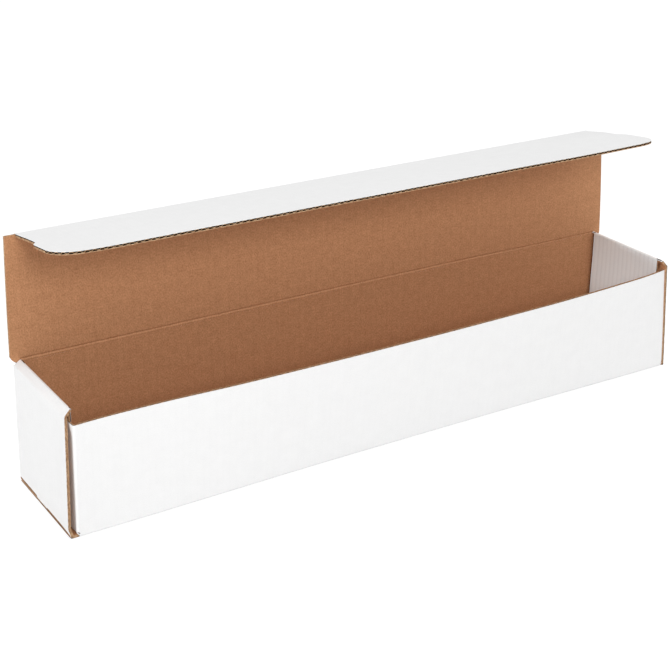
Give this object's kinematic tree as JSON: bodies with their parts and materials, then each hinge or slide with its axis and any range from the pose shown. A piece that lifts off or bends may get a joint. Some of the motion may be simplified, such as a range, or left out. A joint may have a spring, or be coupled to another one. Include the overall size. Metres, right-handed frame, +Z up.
{
  "type": "long corrugated mailer box",
  "caption": "Long die-cut corrugated mailer box with rolled double end walls, white outside and brown inside, its lid standing open and a full-depth tuck flap pointing forward.",
  "frame": {"origin": "middle of the tray's underside, in the plane that it stands on", "axes": "+X along the length towards the right end, -Y out of the front wall, +Z up"},
  "size_m": [0.629, 0.1213, 0.2311],
  "materials": {
    "tray_board": "matte",
    "lid_board": "matte",
    "flap_board": "matte"
  },
  "bodies": {
    "tray": {"tray": "tray_board"},
    "lid": {"lid": "lid_board"},
    "tuck_flap": {"tuck_flap": "flap_board"}
  },
  "joints": [
    {"name": "lid_hinge", "type": "hinge", "parent": "tray", "child": "lid", "pos_m": [0, 0.0529, 0.1121], "axis": [1, 0, 0], "range_deg": [-90, 70]},
    {"name": "tuck_flap_hinge", "type": "hinge", "parent": "lid", "child": "tuck_flap", "pos_m": [0, 0.05437, 0.21709], "axis": [1, 0, 0], "range_deg": [-83.5, 36]}
  ]
}
